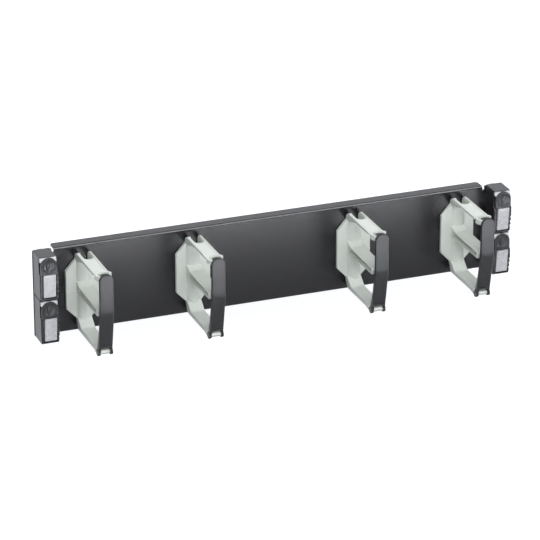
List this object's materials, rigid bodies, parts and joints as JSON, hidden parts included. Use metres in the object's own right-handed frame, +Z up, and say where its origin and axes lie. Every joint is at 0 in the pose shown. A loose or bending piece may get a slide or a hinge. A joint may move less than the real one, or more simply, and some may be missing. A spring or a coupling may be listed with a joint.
{
  "type": "horizontal cable manager",
  "caption": "Black folded rack panel with grey moulded cable rings, hinged front gates and quarter-turn fasteners at the ends.",
  "frame": {"origin": "middle of the panel's rear face, the plane that lies on the rack's rails", "axes": "+X to the right across the rack seen from the front, +Y back into the rack, +Z up; the front faces -Y"},
  "size_m": [0.484, 0.088, 0.0886],
  "materials": {
    "panel_steel": "fine black powder coat",
    "ring_plastic": "light grey moulded, satin",
    "gate_plastic": "black moulded, satin",
    "housing_plastic": "black moulded, fine texture",
    "knob_plastic": "black moulded, satin",
    "slide_plastic": "pale grey moulded, satin",
    "plated_steel": "zinc plated"
  },
  "bodies": {
    "frame": {"panel": "panel_steel", "ring_1": "ring_plastic", "ring_2": "ring_plastic", "ring_3": "ring_plastic", "ring_4": "ring_plastic", "ring_screws_1": "plated_steel", "ring_screws_2": "plated_steel", "ring_screws_3": "plated_steel", "ring_screws_4": "plated_steel", "housing_left_lower": "housing_plastic", "housing_left_upper": "housing_plastic", "housing_right_lower": "housing_plastic", "housing_right_upper": "housing_plastic", "collar_left_lower": "knob_plastic", "collar_left_upper": "knob_plastic", "collar_right_lower": "knob_plastic", "collar_right_upper": "knob_plastic", "housing_screws_left_lower": "plated_steel", "housing_screws_left_upper": "plated_steel", "housing_screws_right_lower": "plated_steel", "housing_screws_right_upper": "plated_steel"},
    "gate_body_1": {"gate_1": "gate_plastic"},
    "gate_body_2": {"gate_2": "gate_plastic"},
    "gate_body_3": {"gate_3": "gate_plastic"},
    "gate_body_4": {"gate_4": "gate_plastic"},
    "turn_left_lower": {"knob_left_lower": "knob_plastic", "cam_left_lower": "plated_steel", "cam_screw_left_lower": "plated_steel"},
    "slider_left_lower": {"slide_left_lower": "slide_plastic"},
    "turn_left_upper": {"knob_left_upper": "knob_plastic", "cam_left_upper": "plated_steel", "cam_screw_left_upper": "plated_steel"},
    "slider_left_upper": {"slide_left_upper": "slide_plastic"},
    "turn_right_lower": {"knob_right_lower": "knob_plastic", "cam_right_lower": "plated_steel", "cam_screw_right_lower": "plated_steel"},
    "slider_right_lower": {"slide_right_lower": "slide_plastic"},
    "turn_right_upper": {"knob_right_upper": "knob_plastic", "cam_right_upper": "plated_steel", "cam_screw_right_upper": "plated_steel"},
    "slider_right_upper": {"slide_right_upper": "slide_plastic"}
  },
  "joints": [
    {"name": "gate_hinge_1", "type": "hinge", "parent": "frame", "child": "gate_body_1", "pos_m": [-0.1929, -0.0655, -0.04], "axis": [1, 0, 0], "range_deg": [0, 100]},
    {"name": "gate_hinge_2", "type": "hinge", "parent": "frame", "child": "gate_body_2", "pos_m": [-0.0828, -0.0655, -0.04], "axis": [1, 0, 0], "range_deg": [0, 100]},
    {"name": "gate_hinge_3", "type": "hinge", "parent": "frame", "child": "gate_body_3", "pos_m": [0.0828, -0.0655, -0.04], "axis": [1, 0, 0], "range_deg": [0, 100]},
    {"name": "gate_hinge_4", "type": "hinge", "parent": "frame", "child": "gate_body_4", "pos_m": [0.1929, -0.0655, -0.04], "axis": [1, 0, 0], "range_deg": [0, 100]},
    {"name": "quarter_turn_left_lower", "type": "hinge", "parent": "frame", "child": "turn_left_lower", "pos_m": [-0.23255, 0, -0.008], "axis": [0, 1, 0], "range_deg": [0, 90]},
    {"name": "slide_down_left_lower", "type": "slide", "parent": "frame", "child": "slider_left_lower", "axis": [0, 0, -1], "range_m": [0, 0.0012]},
    {"name": "quarter_turn_left_upper", "type": "hinge", "parent": "frame", "child": "turn_left_upper", "pos_m": [-0.23255, 0, 0.03645], "axis": [0, 1, 0], "range_deg": [0, 90]},
    {"name": "slide_down_left_upper", "type": "slide", "parent": "frame", "child": "slider_left_upper", "axis": [0, 0, -1], "range_m": [0, 0.0012]},
    {"name": "quarter_turn_right_lower", "type": "hinge", "parent": "frame", "child": "turn_right_lower", "pos_m": [0.23255, 0, -0.008], "axis": [0, 1, 0], "range_deg": [0, 90]},
    {"name": "slide_down_right_lower", "type": "slide", "parent": "frame", "child": "slider_right_lower", "axis": [0, 0, -1], "range_m": [0, 0.0012]},
    {"name": "quarter_turn_right_upper", "type": "hinge", "parent": "frame", "child": "turn_right_upper", "pos_m": [0.23255, 0, 0.03645], "axis": [0, 1, 0], "range_deg": [0, 90]},
    {"name": "slide_down_right_upper", "type": "slide", "parent": "frame", "child": "slider_right_upper", "axis": [0, 0, -1], "range_m": [0, 0.0012]}
  ]
}
